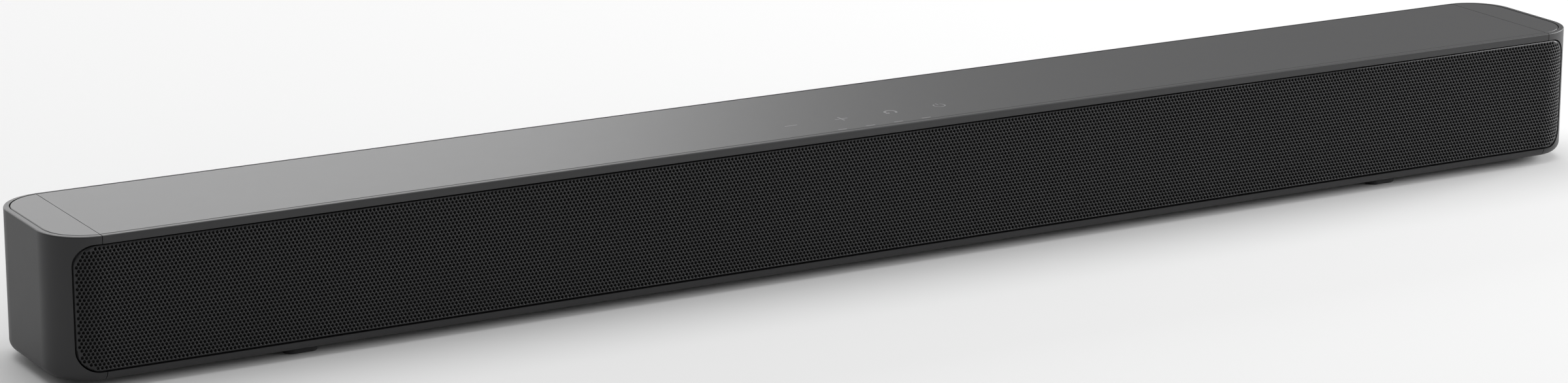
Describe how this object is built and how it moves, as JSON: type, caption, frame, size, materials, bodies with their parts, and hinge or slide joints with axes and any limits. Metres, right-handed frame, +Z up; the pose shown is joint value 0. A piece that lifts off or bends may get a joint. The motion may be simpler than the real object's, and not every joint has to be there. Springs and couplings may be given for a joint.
{
  "type": "soundbar",
  "caption": "Long slim soundbar with rounded end caps, a wrapped perforated front grille, touch controls on the top panel, small feet and a rear connector bay.",
  "frame": {"origin": "centre of the footprint, on the surface that the feet stand on", "axes": "+Z up, +X to the right seen from the front, front face towards -Y"},
  "size_m": [0.8, 0.0792, 0.0666],
  "materials": {
    "casing": "moulded satin black",
    "top_plate": "fine satin dark grey",
    "grille_metal": "powder-coated perforated sheet",
    "cloth": "black acoustic cloth",
    "inner_plastic": "moulded black",
    "basket": "black painted steel",
    "motor": "zinc-plated steel and ferrite",
    "cone": "pressed paper",
    "soft_rubber": "soft matte rubber",
    "spider": "treated cotton",
    "gasket": "closed-cell foam",
    "screw": "black zinc steel",
    "bright_screw": "zinc steel",
    "board": "solder mask on glass-epoxy",
    "socket_shell": "tinned steel shell",
    "socket_plastic": "moulded black",
    "heatsink": "extruded, natural",
    "transformer": "polyester tape",
    "capacitor": "printed sleeve",
    "light_guide": "clear polycarbonate",
    "ir_window": "dark infrared lens",
    "ribbon": "laminated flat cable",
    "wire": "insulated stranded wire",
    "foot": "matte rubber",
    "brass": "turned brass"
  },
  "bodies": {
    "enclosure": {"upper_housing": "casing", "lower_housing": "casing", "end_cap_left": "casing", "end_cap_right": "casing", "top_panel": "top_plate", "top_inlay_left": "top_plate", "top_inlay_right": "top_plate", "front_grille": "grille_metal", "grille_cloth": "cloth", "grille_frame": "inner_plastic", "front_baffle": "inner_plastic", "bass_port_left": "inner_plastic", "bass_port_right": "inner_plastic", "driver_frame_1": "basket", "driver_frame_2": "basket", "driver_frame_3": "basket", "driver_frame_4": "basket", "driver_motor_1": "motor", "driver_motor_2": "motor", "driver_motor_3": "motor", "driver_motor_4": "motor", "driver_surround_1": "soft_rubber", "driver_surround_2": "soft_rubber", "driver_surround_3": "soft_rubber", "driver_surround_4": "soft_rubber", "driver_spider_1": "spider", "driver_spider_2": "spider", "driver_spider_3": "spider", "driver_spider_4": "spider", "driver_gaskets": "gasket", "driver_screws": "screw", "case_screws": "screw", "end_cap_screws": "screw", "board_screws": "bright_screw", "touch_springs": "bright_screw", "main_board": "board", "power_board": "board", "touch_board": "board", "wireless_module": "board", "hdmi_socket": "socket_shell", "usb_socket": "socket_shell", "optical_socket": "socket_plastic", "aux_socket": "socket_plastic", "power_inlet": "socket_plastic", "heatsink": "heatsink", "power_transformer": "transformer", "power_capacitors": "capacitor", "indicator_light_guides": "light_guide", "ir_receiver": "ir_window", "ribbon_cable": "ribbon", "speaker_wires": "wire", "foot_front_left": "foot", "foot_front_right": "foot", "foot_rear_left": "foot", "foot_rear_right": "foot", "wall_inserts": "brass"},
    "cone_1": {"driver_cone_1": "cone"},
    "cone_2": {"driver_cone_2": "cone"},
    "cone_3": {"driver_cone_3": "cone"},
    "cone_4": {"driver_cone_4": "cone"}
  },
  "joints": [
    {"name": "cone_1_travel", "type": "slide", "parent": "enclosure", "child": "cone_1", "axis": [0, -1, 0], "range_m": [-0.002, 0.002], "stiffness_N_per_m": 400},
    {"name": "cone_2_travel", "type": "slide", "parent": "enclosure", "child": "cone_2", "axis": [0, -1, 0], "range_m": [-0.002, 0.002], "stiffness_N_per_m": 400},
    {"name": "cone_3_travel", "type": "slide", "parent": "enclosure", "child": "cone_3", "axis": [0, -1, 0], "range_m": [-0.002, 0.002], "stiffness_N_per_m": 400},
    {"name": "cone_4_travel", "type": "slide", "parent": "enclosure", "child": "cone_4", "axis": [0, -1, 0], "range_m": [-0.002, 0.002], "stiffness_N_per_m": 400}
  ]
}
